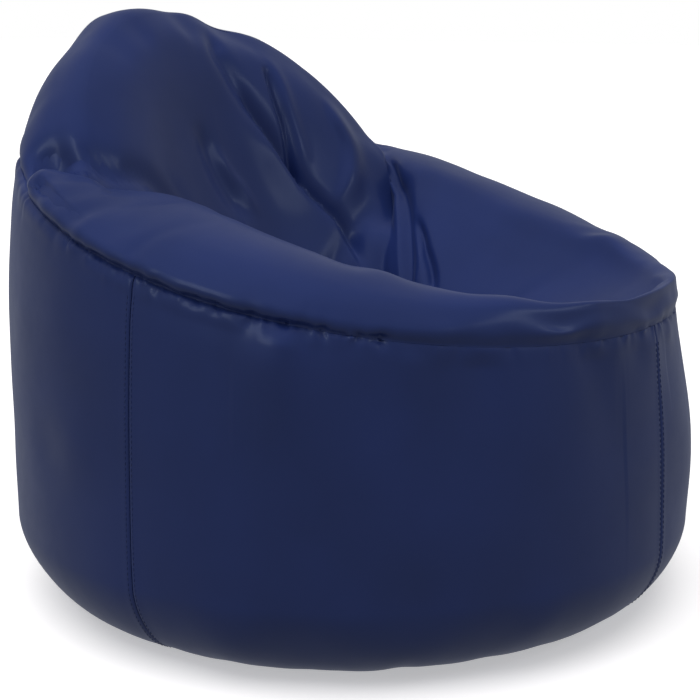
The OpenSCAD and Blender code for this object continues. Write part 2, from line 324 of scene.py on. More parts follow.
# ---- grids: every row of points runs round the bag, closed ----
def grid_columns(step, near_step):
    """Azimuths round the bag, from the front seam, closer together beside the four seams."""
    quarter = [0.0]
    while quarter[-1] < 45:
        edge = quarter[-1]
        quarter.append(edge + (near_step if edge < 2.4 else step))
    quarter = np.array(quarter) * 45 / quarter[-1]
    panel = np.concatenate([quarter, (90 - quarter[::-1])[1:-1]])
    return np.concatenate([WALL_TURN + 90 * k + panel for k in range(4)])


def crowded(count, near, power):
    """count values from 0 to 1, crowded towards 0 or 1."""
    x = np.linspace(0, 1, count) ** power
    return x if near == 0 else 1 - x[::-1]


def unit(v):
    return v / np.maximum(1e-9, np.linalg.norm(v, axis=-1, keepdims=True))


def normals(p):
    """Unit normals of a grid of rows that close round the bag, pointing out of it."""
    round_it = np.roll(p, -1, 1) - np.roll(p, 1, 1)
    return unit(np.cross(round_it, np.gradient(p, axis=0)))


def run_length(p):
    """Distance of each point along its column from the first row."""
    steps = np.linalg.norm(np.diff(p, axis=0), axis=-1)
    return np.concatenate([np.zeros((1, p.shape[1])), np.cumsum(steps, 0)])


# ---- big folds ----
# Each fold follows a path of (azimuth, t) on the top panel. The surface rises by `before` on
# the side of smaller azimuths and by `after` on the other, which fade over the two widths;
# `soft` is the distance over which one side passes into the other. Lengths in metres.
def fold(path, before, before_w, after, after_w, soft, fade=(0.25, 0.25)):
    return dict(path=np.array(path, float), sides=(before, after), widths=(before_w, after_w),
                soft=soft, fade=fade)


FOLDS = [
    # the long soft valley down the backrest
    fold([(170.5, 0.45), (170.5, 0.51), (171, 0.55), (168, 0.59), (164, 0.62), (157, 0.65)],
         -0.010, 0.016, -0.007, 0.015, 0.008, (0.3, 0.3)),
    # the edge of the middle flap, which lies over the flank
    fold([(167, 0.58), (165, 0.61), (158, 0.645), (151, 0.675), (146, 0.69), (140, 0.71),
          (135, 0.745), (130, 0.79)],
         -0.015, 0.018, 0.007, 0.040, 0.0040, (0.3, 0.2)),
    # the sharp crease beside it, and the ridge along that
    fold([(156, 0.53), (155.5, 0.555), (154.5, 0.59), (153.5, 0.61), (152.5, 0.64), (151, 0.68)],
         -0.010, 0.006, -0.011, 0.006, 0.0030, (0.3, 0.1)),
    fold([(154, 0.49), (152.5, 0.54), (151, 0.59), (149, 0.63), (147.5, 0.67)],
         0.005, 0.013, 0.004, 0.007, 0.004, (0.4, 0.3)),
    # the ridge on the flank
    fold([(138, 0.48), (136, 0.53), (133, 0.575), (134.5, 0.64), (139.5, 0.69)],
         0.010, 0.022, 0.009, 0.010, 0.0045, (0.35, 0.35)),
    # the edge of the flank over the left arm, and the crevice in front of it
    fold([(125, 0.38), (121, 0.43), (117, 0.53), (113.5, 0.62), (111, 0.70), (107, 0.78),
          (104, 0.84)],
         -0.006, 0.014, 0.013, 0.042, 0.0040, (0.2, 0.2)),
    fold([(110, 0.625), (106, 0.645), (102, 0.665), (95, 0.70), (89, 0.75)],
         -0.010, 0.007, -0.010, 0.007, 0.0030, (0.4, 0.25)),
    # the soft folds low on the backrest's right
    fold([(188, 0.62), (186, 0.66), (183, 0.69), (177, 0.73)],
         -0.006, 0.016, -0.006, 0.018, 0.010),
    fold([(184, 0.645), (180, 0.675), (176, 0.69), (171, 0.72)],
         0.004, 0.010, 0.003, 0.012, 0.005),
    # the groove between the backrest and the right arm
    fold([(236, 0.38), (232, 0.50), (228, 0.56), (221, 0.64), (212, 0.72)],
         -0.010, 0.020, -0.010, 0.018, 0.006),
    # the back end of the right arm, which stands up in front of the hollow beside the backrest
    fold([(239, 0.02), (238.5, 0.14), (237.5, 0.26), (236, 0.36), (234, 0.52)],
         -0.018, 0.018, 0.022, 0.080, 0.0055, (0.35, 0.35)),
]
# Hollows of the top panel: azimuth, t, radii along X, Y and Z, and depth, which is negative
# where the cloth swells out.
HOLLOWS = [(-126.5, 0.26, (0.034, 0.030, 0.022), 0.024),
           (163, 0.41, (0.050, 0.050, 0.060), 0.014), (178, 0.34, (0.040, 0.045, 0.060), 0.006),
           (194, 0.27, (0.045, 0.050, 0.050), -0.010)]


def angle_gap(a, b):
    return (a - b + 180) % 360 - 180


def fold_lift(points, columns, ts, f):
    """How far one fold moves each point of the top grid along its normal."""
    line = along(f["path"], np.linspace(0, 1, 40))
    place = np.array([top_surface(np.array([a]), np.array([t]))[0, 0] for a, t in line])
    best = np.full(points.shape[:2], 1e9)
    where = np.zeros(points.shape[:2])
    for i in range(len(place) - 1):
        step = place[i + 1] - place[i]
        s = np.clip((points - place[i]) @ step / (step @ step), 0, 1)
        gap = np.linalg.norm(points - place[i] - s[..., None] * step, axis=-1)
        where = np.where(gap < best, (i + s) / (len(place) - 1), where)
        best = np.minimum(gap, best)
    middle = np.interp(ts, line[:, 1], line[:, 0])
    side = np.sign(angle_gap(columns[None, :], middle[:, None]))
    k = 0.5 + 0.5 * np.tanh(best * side / f["soft"])
    lift = mix(f["sides"][0] * bell(best, f["widths"][0]),
               f["sides"][1] * bell(best, f["widths"][1]), k)
    return lift * ease(where / f["fade"][0]) * ease((1 - where) / f["fade"][1])


def seam_depth(a):
    """The rim seam sinks deep beside the arms and the back, and is nearly flush in front."""
    return 0.15 + 0.50 * ease((np.abs(angle_gap(a, 5)) - 45) / 35)


def hollow_lift(points, centre_a, centre_t, size, depth):
    centre = top_surface(np.array([centre_a]), np.array([centre_t]))[0, 0]
    gap = np.linalg.norm((points - centre) / np.array(size), axis=-1)
    return -depth * np.exp(-gap ** 2)


def top_folds(columns, ts):
    """The lift of the top grid by all its folds, and the plump outer side of each arm."""
    points = top_surface(columns, ts)
    lift = sum(fold_lift(points, columns, ts, f) for f in FOLDS)
    lift += sum(hollow_lift(points, *h) for h in HOLLOWS)
    arm = (ease((from_back(columns) - 58) / 16) * seam_depth(columns))[None, :]
    return lift + 0.008 * arm * bell(ts - 0.15, 0.09)[:, None]


# ---- cloth simulation of the whole bag ----
CAGE_STEP = 1.5
CAGE_COLUMNS = WALL_TURN + np.arange(0, 360, CAGE_STEP)
CAGE_U = np.concatenate([np.linspace(0, 1, 15), np.linspace(1, 2, 36)[1:]])
CAGE_T = np.linspace(0, 0.94, 56)
CAP = 0.012
CLOTH_FRAMES = 20
PRESSURE = 4
# The share of the cloth's broad swelling that is taken out again, to keep the outline.
BROAD_SHARE = 0.75
# The share of its movement that is taken out beside a flush rim seam, within so many rows.
RIM_CALM = 0.75
RIM_CALM_ROWS = 7


def mesh_object(name, verts, faces):
    mesh = bpy.data.meshes.new(name)
    mesh.from_pydata(np.asarray(verts).tolist(), [], faces)
    mesh.update()
    mesh.shade_smooth()
    obj = bpy.data.objects.new(name, mesh)
    bpy.context.scene.collection.objects.link(obj)
    return obj


def quad_faces(rows, cols, closed, first=0, flip=False):
    i = np.arange(rows - 1)[:, None] * cols
    j = np.arange(cols if closed else cols - 1)[None, :]
    k = (j + 1) % cols
    quads = [i + j, i + k, i + cols + k, i + cols + j]
    if flip:
        quads.reverse()
    return (np.stack(np.broadcast_arrays(*quads), -1).reshape(-1, 4) + first).tolist()


def smooth_grid(field, rows, cols):
    """A field on the cage, averaged over a few rows and columns."""
    for _ in range(rows):
        field = (np.concatenate([field[:1], field[:-1]]) + 2 * field
                 + np.concatenate([field[1:], field[-1:]])) / 4
    for _ in range(cols):
        field = (np.roll(field, 1, 1) + 2 * field + np.roll(field, -1, 1)) / 4
    return field


def simulate(points, seam_row):
    """How far the cloth of the bag moves when it is filled, at each point of the cage."""
    rows, cols = points.shape[:2]
    verts = np.concatenate([points.reshape(-1, 3), [points[0].mean(0)], [points[-1].mean(0)]])
    faces = quad_faces(rows, cols, True)
    for row, middle, turn in ((0, rows * cols, 1), (rows - 1, rows * cols + 1, 0)):
        for j in range(cols):
            pair = [row * cols + j, row * cols + (j + 1) % cols]
            faces.append((pair[::-1] if turn else pair) + [middle])
    cage = mesh_object("cloth_cage", verts, faces)
    hold = cage.vertex_groups.new(name="hold")
    tight = cage.vertex_groups.new(name="tight")
    for i in range(rows):
        held = 1.0 if i < 2 else 0.0
        held = max(held, float(ease((i - rows + 12) / 8)))
        line = list(range(i * cols, (i + 1) * cols))
        if held > 0:
            hold.add(line, held, "REPLACE")
        for j, i_j in enumerate(line):
            pull = 0.1 + 0.4 * float(seam_depth(CAGE_COLUMNS[j]))
            tight.add([i_j], pull * float(bell(i - seam_row, 1.2)), "REPLACE")
    hold.add([rows * cols, rows * cols + 1], 1.0, "REPLACE")
    per = round(90 / CAGE_STEP)
    for j in range(0, cols, per):
        tight.add([i * cols + j for i in range(seam_row)], 0.12, "REPLACE")
    cloth = cage.modifiers.new("cloth", "CLOTH")
    s = cloth.settings
    s.quality = 5
    s.mass = 0.3
    s.tension_stiffness = s.compression_stiffness = 12
    s.shear_stiffness = 6
    s.bending_stiffness = 3
    s.use_pressure = True
    s.uniform_pressure_force = PRESSURE
    s.effector_weights.gravity = 0
    s.vertex_group_mass = "hold"
    s.pin_stiffness = 1
    s.vertex_group_shrink = "tight"
    s.shrink_min = -0.02
    s.shrink_max = 0.05
    cloth.collision_settings.use_collision = False
    scene = bpy.context.scene
    scene.frame_start, scene.frame_end = 1, CLOTH_FRAMES
    cloth.point_cache.frame_start, cloth.point_cache.frame_end = 1, CLOTH_FRAMES
    for f in range(1, CLOTH_FRAMES + 1):
        scene.frame_set(f)
    made = cage.evaluated_get(bpy.context.evaluated_depsgraph_get()).to_mesh()
    moved = np.zeros(len(verts) * 3)
    made.vertices.foreach_get("co", moved)
    moved = moved.reshape(-1, 3)[:rows * cols].reshape(rows, cols, 3) - points
    scene.frame_set(1)
    bpy.data.objects.remove(cage)
    return moved


def fine_from_cage(field, rows_at, cols_at):
    """The field at fractional rows and columns of the cage, by smooth curves both ways."""
    field = along(field, rows_at / (field.shape[0] - 1)).swapaxes(0, 1)
    count = field.shape[0]
    field = np.concatenate([field[-2:], field, field[:3]])
    return along(field, (cols_at + 2) / (count + 4)).swapaxes(0, 1)


cage_points = np.concatenate([wall_surface(CAGE_COLUMNS, CAGE_U),
                              top_surface(CAGE_COLUMNS, CAGE_T)[1:]])
SEAM_ROW = len(CAGE_U) - 1
moved = simulate(cage_points, SEAM_ROW)
length = np.linalg.norm(moved, axis=-1, keepdims=True)
moved *= np.tanh(length / CAP) * CAP / np.maximum(length, 1e-9)
moved = smooth_grid(moved, 2, 2)
moved -= BROAD_SHARE * smooth_grid(moved, 40, 60)
rim = bell((np.arange(len(cage_points)) - SEAM_ROW) / RIM_CALM_ROWS, 1)[:, None]
moved *= (1 - RIM_CALM * rim * (1 - seam_depth(CAGE_COLUMNS))[None, :])[..., None]
print("cloth moved the bag by up to", round(1000 * float(np.abs(moved).max()), 1), "mm")
cage_points = cage_points + moved

# ---- the cover's fine grid ----
WALL_COLUMNS = grid_columns(0.36, 0.12)
# Columns of the top panel: from, to and how many, closest together where the folds are.
TOP_SPANS = ((0, 86, 66), (86, 195, 236), (195, 258, 48), (258, 312, 90), (312, 360, 34))
TOP_COLUMNS = WALL_TURN + np.concatenate([np.linspace(start, end, count, endpoint=False)
                                          for start, end, count in TOP_SPANS])
WALL_U = np.concatenate([crowded(30, 0, 1.3), 1 + crowded(84, 1, 1.5)[1:]])
TOP_T = np.concatenate([crowded(17, 0, 1.6) * 0.09, np.linspace(0.09, 0.42, 28)[1:],
                        np.linspace(0.42, 0.80, 126)[1:], np.linspace(0.80, 0.97, 14)[1:]])


BACK_LEAN = 0.009
FRONT_LEAN = 0.011


def cage_index(columns):
    return (columns - WALL_TURN) / CAGE_STEP


def at_rows(values, cage_values, first):
    return np.interp(values, cage_values, np.arange(len(cage_values))) + first


def drawn_in(points, columns, share):
    """The points with the rim at the sitter's front left drawn in towards the bag's axis."""
    amount = FRONT_LEAN * bell(angle_gap(columns, 38), 34)[None, :] * share[:, None]
    amount = amount * ease((points[..., 2] - 0.22) / 0.16)
    return points + rim_inward(columns)[None] * amount[..., None]


def rim_inward(a):
    """Level directions from the rim towards the bag's axis."""
    return np.stack([-sind(a), cosd(a), 0 * a], -1)


wall = wall_surface(WALL_COLUMNS, WALL_U)
lean = bell(angle_gap(WALL_COLUMNS, -140), 38)[None, :] * bell(WALL_U - 1.62, 0.30)[:, None]
wall = wall + normals(wall) * (BACK_LEAN * lean)[..., None]
wall = wall + fine_from_cage(moved, at_rows(WALL_U, CAGE_U, 0), cage_index(WALL_COLUMNS))
wall = drawn_in(wall, WALL_COLUMNS, np.ones(len(WALL_U)))
top = top_surface(TOP_COLUMNS, TOP_T)
top = top + normals(top) * top_folds(TOP_COLUMNS, TOP_T)[..., None]
top = top + fine_from_cage(moved, at_rows(TOP_T, CAGE_T, SEAM_ROW), cage_index(TOP_COLUMNS))
top = drawn_in(top, TOP_COLUMNS, 1 - ease((TOP_T - 0.1) / 0.35))

# ---- seams: grooves, puckers and the gathered edge ----
SEAMS = [WALL_TURN + 90 * k for k in range(4)]
RIM_GROOVE = 0.0060
RIM_GROOVE_W = 0.0032
RIM_ROLL = 0.0020
SIDE_GROOVE = 0.0018
SIDE_ROLL = 0.0003
BASE_GROOVE = 0.0010
FLOOR_GAP = 0.0002
rng = random.Random(7)


def tucks(count, reach, size, around=(-180, 180), width=(0.35, 1.3)):
    """Small tucks along a seam: place, half width, slant, length and height of each."""
    return [(rng.uniform(*around), rng.uniform(*width), rng.uniform(-40, 40),
             reach * rng.uniform(0.3, 1.0), size * rng.uniform(-1.0, 0.8)) for _ in range(count)]


def tuck_lift(columns, distance, made):
    total = np.zeros(distance.shape)
    for centre, width, slant, length, height in made:
        x = angle_gap(columns, centre)
        near = np.abs(x) < 7
        d = distance[:, near]
        across = (x[near][None, :] - slant * d) / (width * (1 + d / length))
        total[:, near] += height * np.exp(-across ** 2) * np.exp(-(d / length) ** 2)
    return total


def dents(surface, count, rows, size, height):
    """Soft random hollows and swellings of a surface: middle, radius and height of each."""
    made = []
    for _ in range(count):
        a, row = rng.uniform(-180, 180), rng.uniform(*rows)
        middle = surface(np.array([a]), np.array([row]))[0, 0]
        made.append((middle, rng.uniform(*size), rng.uniform(-height, height)))
    return made


def dent_lift(points, made):
    return sum(h * np.exp(-((points - c) ** 2).sum(-1) / (r * r)) for c, r, h in made)


def groove(d, depth, width):
    return -depth * np.exp(-(d / width) ** 1.5)


wall_run = run_length(wall)
below_rim = wall_run[-1] - wall_run
top_run = run_length(top)
deep_w, deep_t = seam_depth(WALL_COLUMNS)[None, :], seam_depth(TOP_COLUMNS)[None, :]
rim_tucks = tucks(210, 0.030, 0.0014)
gathers = tucks(130, 0.011, 0.0024, (-103, -48), (0.25, 0.5))
gathers += tucks(40, 0.009, 0.0018, (-20, 25), (0.3, 0.6))
base_tucks = tucks(120, 0.030, 0.0014)
wall_lift = deep_w * (groove(below_rim, RIM_GROOVE, RIM_GROOVE_W)
                      + RIM_ROLL * bell(below_rim - 0.012, 0.009))
wall_lift += tuck_lift(WALL_COLUMNS, below_rim, rim_tucks + gathers)
wall_lift += (tuck_lift(WALL_COLUMNS, wall_run, base_tucks) * ease(wall_run / 0.012)
              + groove(wall_run, BASE_GROOVE, 0.003))
for a in SEAMS:
    arc = np.abs(angle_gap(WALL_COLUMNS, a)) * math.pi / 180 * DRUM_R
    wall_lift += (groove(arc, SIDE_GROOVE, 0.0015) + SIDE_ROLL * bell(arc - 0.006, 0.005))[None, :]
top_lift = deep_t * (groove(top_run, RIM_GROOVE, RIM_GROOVE_W)
                     + RIM_ROLL * bell(top_run - 0.014, 0.010))
top_lift += tuck_lift(TOP_COLUMNS, top_run, rim_tucks + gathers)
drags = tucks(26, 0.16, 0.0045, (-75, 60), (1.2, 3.5))
arm_wrinkles = tucks(22, 0.13, 0.0036, (-132, -80), (0.8, 2.2))
loose = dents(wall_surface, 90, (0.6, 1.9), (0.035, 0.080), 0.0036)
wall_lift += (dent_lift(wall, loose) * ease(wall_run / 0.05) * ease(below_rim / 0.03)
              + tuck_lift(WALL_COLUMNS, below_rim, drags) * ease(below_rim / 0.025))
soft_arm = dents(top_surface, 60, (0.05, 0.45), (0.030, 0.060), 0.0024)
top_lift += (dent_lift(top, soft_arm) * ease(top_run / 0.03)
             + tuck_lift(TOP_COLUMNS, top_run, arm_wrinkles) * ease(top_run / 0.02))
wall = wall + normals(wall) * wall_lift[..., None]
top = top + normals(top) * top_lift[..., None]
wall[..., 2] = np.maximum(wall[..., 2], FLOOR_GAP)


# ---- pieces ----
def show(piece, material, body, slot, *nodes):
    piece.data.materials.clear()
    piece.data.materials.append(material)
    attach(piece, body)
    if nodes:
        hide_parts(*nodes)
    return piece


def open_normals(p):
    return unit(np.cross(np.gradient(p, axis=1), np.gradient(p, axis=0)))


def sheet_panel(name, outer, thickness):
    """A closed sheet of the given thickness, under an open grid of outer points."""
    inner = outer - open_normals(outer) * thickness
    rows, cols = outer.shape[:2]
    count = rows * cols
    faces = quad_faces(rows, cols, False) + quad_faces(rows, cols, False, count, True)
    edge = np.concatenate([np.arange(cols), np.arange(1, rows) * cols + cols - 1,
                           (rows - 1) * cols + np.arange(cols - 2, -1, -1),
                           np.arange(rows - 2, 0, -1) * cols])
    after = np.roll(edge, -1)
    faces += np.stack([after, edge, edge + count, after + count], -1).tolist()
    return mesh_object(name, np.concatenate([outer.reshape(-1, 3), inner.reshape(-1, 3)]), faces)


def round_sheet(name, outer, thickness):
    """A closed sheet under a grid that goes all the way round and closes at its last row.
    Its hidden side has every fourth row and every other column."""
    inner = (outer - normals(outer) * thickness)[::4, ::2]
    rows, cols = outer.shape[:2]
    in_rows, in_cols = inner.shape[:2]
    count, in_count = rows * cols, in_rows * in_cols
    verts = np.concatenate([outer.reshape(-1, 3), inner.reshape(-1, 3), [outer[-1].mean(0)],
                            [inner[-1].mean(0)]])
    faces = quad_faces(rows, cols, True) + quad_faces(in_rows, in_cols, True, count, True)
    for j in range(cols):
        faces.append([count - cols + j, count - cols + (j + 1) % cols, count + in_count])
    last = count + in_count - in_cols
    for j in range(in_cols):
        k = (j + 1) % in_cols
        faces.append([last + k, last + j, count + in_count + 1])
        faces.append([2 * j + 1, 2 * j, count + j])
        faces.append([(2 * j + 2) % cols, 2 * j + 1, count + j, count + k])
    return mesh_object(name, verts, faces)


def with_turned_edge(p, inward, steps):
    """The grid with rows added before its first one, which turn in away from the surface."""
    extra = [p[0] + inward * s for s in steps[::-1]]
    return np.concatenate([np.array(extra), p])


FLANGE = (0.0015, 0.003, 0.005)
GAP = 0.0002
LINER_T = 0.0004

LEATHER = faux_leather()
THREAD = twisted_thread("navy_thread", (0.010, 0.020, 0.080), (0.016, 0.030, 0.110))
LINING = woven("liner_cloth", (0.52, 0.52, 0.50), (0.78, 0.78, 0.76), 420, 0.75, 0.0001)
WHITE_THREAD = twisted_thread("white_thread", (0.66, 0.66, 0.65), (0.80, 0.80, 0.79))
NAVY_TAPE = woven("navy_zip_tape", (0.004, 0.007, 0.022), (0.014, 0.024, 0.070), 330, 0.7, 0.0002)
NAVY_COIL = twisted_thread("navy_zip_coil", (0.010, 0.016, 0.045), (0.016, 0.026, 0.065))
METAL = plated_metal()
BEADS = bead_mass()
RIBBON = satin_label()


def cover_wall():
    rows = wall.copy()
    rows[-1, :, 2] -= GAP
    rows = with_turned_edge(rows[::-1], rim_inward(WALL_COLUMNS), FLANGE)[::-1]
    rows = np.concatenate([rows, rows[:, :1]], 1)
    per = len(WALL_COLUMNS) // 4
    names = ("front_left", "back_left", "back_right", "front_right")
    for k, name in enumerate(names):
        part = rows[:, k * per:(k + 1) * per + 1].copy()
        for side, near in ((0, 1), (-1, -2)):
            part[:, side] += unit(part[:, near] - part[:, side]) * GAP
        n = open_normals(part)
        first = [part[:, 0] - n[:, 1] * s for s in FLANGE[::-1]]
        last = [part[:, -1] - n[:, -2] * s for s in FLANGE]
        part = np.concatenate([np.stack(first, 1), part, np.stack(last, 1)], 1)
        piece = sheet_panel(name + "_wall_cover", part, COVER_T)
        show(piece, LEATHER, "bag", "cover", name + "_wall_panel")


def cover_top():
    rows = top.copy()
    rows[0, :, 2] += GAP
    rows = with_turned_edge(rows, rim_inward(TOP_COLUMNS), FLANGE)
    piece = round_sheet("top_cover", rows, COVER_T)
    show(piece, LEATHER, "bag", "cover", "top_panel")


cover_wall()
cover_top()


# ---- inside: liner and beads, which stay inside the cover but cut each other in places ----
LINER_DEPTH = 0.0065
BEAD_DEPTH = 0.0115
LINER_FLOOR = 0.0076
BEAD_FLOOR = 0.0150
# Under the middle of the seat, where a flat fan closes them, the insides lie this much lower.
SEAT_ROOM = 0.012
# Round the deep notch behind the right arm they lie this much further in, within this reach.
NOTCH_ROOM = 0.024
NOTCH_REACH = 0.060
INNER_MIDDLE = (0, 0, 0.3)


def deepest(field, reach):
    """The lowest value of a field on the cage within a few rows and columns."""
    for _ in range(reach):
        rows = np.minimum(np.concatenate([field[:1], field[:-1]]),
                          np.concatenate([field[1:], field[-1:]]))
        field = np.minimum(field, rows)
        field = np.minimum(field, np.minimum(np.roll(field, 1, 1), np.roll(field, -1, 1)))
    return field


def inside(depth, rounds):
    """A smooth surface inside the cover, deeper than its creases, on the cage's grid."""
    soft = smooth_grid(cage_points, rounds, rounds)
    soft[0] = cage_points[0]
    out = normals(soft)
    dip = np.zeros(soft.shape[:2])
    parts = ((wall, at_rows(WALL_U, CAGE_U, 0), cage_index(WALL_COLUMNS)),
             (top, at_rows(TOP_T, CAGE_T, SEAM_ROW), cage_index(TOP_COLUMNS)))
    for surface, rows_at, cols_at in parts:
        lower = np.einsum("rci,rci->rc", surface - fine_from_cage(soft, rows_at, cols_at),
                          fine_from_cage(out, rows_at, cols_at))
        row = np.rint(rows_at).astype(int)[:, None] + 0 * cols_at.astype(int)[None, :]
        col = np.rint(cols_at).astype(int)[None, :] % soft.shape[1] + 0 * row
        np.minimum.at(dip, (row, col), lower)
    dip = smooth_grid(deepest(dip, 2), 3, 3)
    made = soft + out * (dip - depth)[..., None]
    under_seat = ease((CAGE_T - 0.72) / 0.16)[:, None]
    made[SEAM_ROW:, :, 2] -= SEAT_ROOM * under_seat
    notch = top_surface(np.array([HOLLOWS[0][0]]), np.array([HOLLOWS[0][1]]))[0, 0]
    gap = np.linalg.norm(made - notch, axis=-1, keepdims=True)
    inward = unit(np.array(INNER_MIDDLE) - made)
    return made + inward * NOTCH_ROOM * bell(gap, NOTCH_REACH)


liner = inside(LINER_DEPTH, 4)
fill = inside(BEAD_DEPTH, 6)


def closed_skin(name, p):
    rows, cols = p.shape[:2]
    verts = np.concatenate([p.reshape(-1, 3), [p[0].mean(0)], [p[-1].mean(0)]])
    faces = quad_faces(rows, cols, True)
    for j in range(cols):
        k = (j + 1) % cols
        faces.append([k, j, rows * cols])
        faces.append([(rows - 1) * cols + j, (rows - 1) * cols + k, rows * cols + 1])
    return mesh_object(name, verts, faces)


def insides():
    part = liner[SEAM_ROW:]
    show(round_sheet("liner_top_cloth", part, LINER_T), LINING, "bag", "liner", "liner_top")
    half = round(180 / CAGE_STEP)
    ring = np.concatenate([liner[:SEAM_ROW + 1], liner[:SEAM_ROW + 1, :1]], 1)
    ring[..., 2] = np.maximum(ring[..., 2], LINER_FLOOR)
    for name, start in (("liner_wall_left", 0), ("liner_wall_right", half)):
        part = ring[:, start:start + half + 1]
        show(sheet_panel(name + "_cloth", part, LINER_T), LINING, "bag", "liner", name)
    p = fill.copy()
    p[..., 2] = np.maximum(p[..., 2], BEAD_FLOOR)
    show(closed_skin("bead_mass", p), BEADS, "bag", "beads", "bead_fill")


insides()


# ---- threads ----
def stitches(name, line, out, material, slot, pitch=0.0065, length=0.0048, radius=0.00035):
    """Stitches along a line of points, each dipping into the cloth at its ends."""
    run = np.concatenate([[0], np.cumsum(np.linalg.norm(np.diff(line, axis=0), axis=1))])
    starts = np.arange(0.5 * pitch, run[-1] - length, pitch)
    at = starts[:, None] + length * np.array([0, 0.12, 0.35, 0.65, 0.88, 1])[None, :]
    rise = radius * np.array([-1.6, 0.2, 1.1, 1.1, 0.2, -1.6])

    def pick(values):
        return np.stack([np.interp(at, run, values[:, i]) for i in range(3)], -1)

    centre, up = pick(line), pick(out)
    centre = centre + up * rise[None, :, None]
    ahead = unit(np.gradient(centre, axis=1))
    side = unit(np.cross(ahead, up))
    up = np.cross(side, ahead)
    sides = 6
    turn = np.arange(sides) * 2 * math.pi / sides
    ring = (side[:, :, None] * np.cos(turn)[:, None] + up[:, :, None] * np.sin(turn)[:, None])
    verts = centre[:, :, None] + radius * ring
    faces = []
    rings = at.shape[1]
    for k in range(len(starts)):
        first = k * rings * sides
        faces += quad_faces(rings, sides, True, first)
        faces.append(list(range(first, first + sides)))
        end = first + (rings - 1) * sides
        faces.append(list(range(end + sides - 1, end - 1, -1)))
    return show(mesh_object(name, verts.reshape(-1, 3), faces), material, "bag", slot)


def side_seam_stitches():
    out = normals(wall)
    rows = slice(10, len(WALL_U) - 12)
    places = ("front", "left", "back", "right")
    for a, place in zip(SEAMS, places):
        for shift, side in ((-0.55, "a"), (0.55, "b")):
            j = int(np.argmin(np.abs(angle_gap(WALL_COLUMNS, a + shift))))
            stitches(f"{place}_seam_thread_{side}", wall[rows, j], out[rows, j], THREAD, "cover")


side_seam_stitches()


# ---- base panels and zips, drawn along X at +Y and then turned about Z ----
BASE_SEAM = 0.0004
SLOT_HALF = 0.008
SLOT_END = 0.257
HEM_TOP = 0.0045
HEM_HALF = 0.2560
TAPE_HALF = 0.262
SEWN_HALF = 0.250
ZIP_HALF = 0.247
COIL_HALF = ZIP_HALF - 0.0006
COIL_PITCH = 0.00125


def turned_up(points, turn, lift):
    points = np.asarray(points, float)
    x, y = points[..., 0], points[..., 1]
    return np.stack([x * cosd(turn) - y * sind(turn), x * sind(turn) + y * cosd(turn),
                     points[..., 2] + lift], -1)


def base_half(name, radius, thickness, turn, lift, material, slot, node):
    """Half of the round base, with a slot beside the zip and a puckered edge."""
    x = np.concatenate([radius * sind(np.linspace(-89, 89, 150)),
                        SLOT_END + np.linspace(-0.006, 0.006, 9),
                        -SLOT_END + np.linspace(-0.006, 0.006, 9)])
    x = np.sort(x)[::-1]
    near = mix(BASE_SEAM, SLOT_HALF, ease((SLOT_END + 0.003 - np.abs(x)) / 0.006))
    far = np.maximum(near + 0.0008, np.sqrt(radius ** 2 - x ** 2))
    v = np.concatenate([crowded(12, 0, 1.8) * 0.3, np.linspace(0.3, 0.7, 8)[1:-1],
                        0.7 + 0.3 * crowded(14, 1, 1.8)])[:, None]
    y = mix(near, far, v)
    edge = radius - np.hypot(x[None, :], y)
    angle = np.degrees(np.arctan2(y, x[None, :]))
    ripple = 0.5 + 0.25 * sind(angle * 31) + 0.25 * sind(angle * 47 + 60)
    z = 0.0011 * ripple * bell(edge, 0.016) + 0.0010 * bell(y - near, 0.003)
    z = z + 0.0006 * bell(y - 0.012, 0.0012) * (np.abs(x) < SLOT_END)
    grid = np.stack([x[None, :] + 0 * y, y, z], -1)
    piece = sheet_panel(name, turned_up(grid, turn, lift), thickness)
    show(piece, material, "bag", slot, node)


def strip(name, section, half_length, count, turn, lift, material, slot, *nodes):
    """A closed section, drawn as points (y, z), run along X."""
    section = np.array(section, float)
    x = np.linspace(-half_length, half_length, count)
    grid = np.stack([x[:, None] + 0 * section[None, :, 0], section[None, :, 0] + 0 * x[:, None],
                     section[None, :, 1] + 0 * x[:, None]], -1)
    m = len(section)
    faces = quad_faces(count, m, True)
    faces.append(list(range(m - 1, -1, -1)))
    faces.append(list(range((count - 1) * m, count * m)))
    piece = mesh_object(name, turned_up(grid, turn, lift).reshape(-1, 3), faces)
    return show(piece, material, "bag", slot, *nodes)


def hem(name, thickness, turn, lift, material, slot):
    """The folded edge of a base panel, a flat loop of cloth beside the slot."""
    low, high, fold_y, end = thickness + 0.0002, HEM_TOP - 0.0001, 0.0083, 0.0158
    middle, round_r = (low + high) / 2, (high - low) / 2
    arc = [(fold_y + round_r * (1 - cosd(b)), middle - round_r * sind(b))
           for b in np.linspace(90, -90, 9)]
    section = arc + [(end - 0.0003, high), (end, high - 0.0003), (end, middle + 0.0004),
                     (end - 0.0006, middle), (end, middle - 0.0004), (end, low + 0.0003),
                     (end - 0.0003, low)]
    return strip(name, section, HEM_HALF, 120, turn, lift, material, slot)


def zip_tape(name, turn, lift, material, slot, node):
    low, high = 0.0046, 0.0051
    lower = [(0.0007, low + 0.0001), (0.0010, low), (0.0036, low), (0.0040, low - 0.00005),
             (0.0044, low), (0.0090, low), (0.0148, low), (0.0153, low - 0.00005),
             (0.0156, low + 0.0001)]
    upper = [(y, low + high - z) for y, z in lower[::-1]]
    return strip(name, lower + upper, TAPE_HALF, 160, turn, lift, material, slot, node)


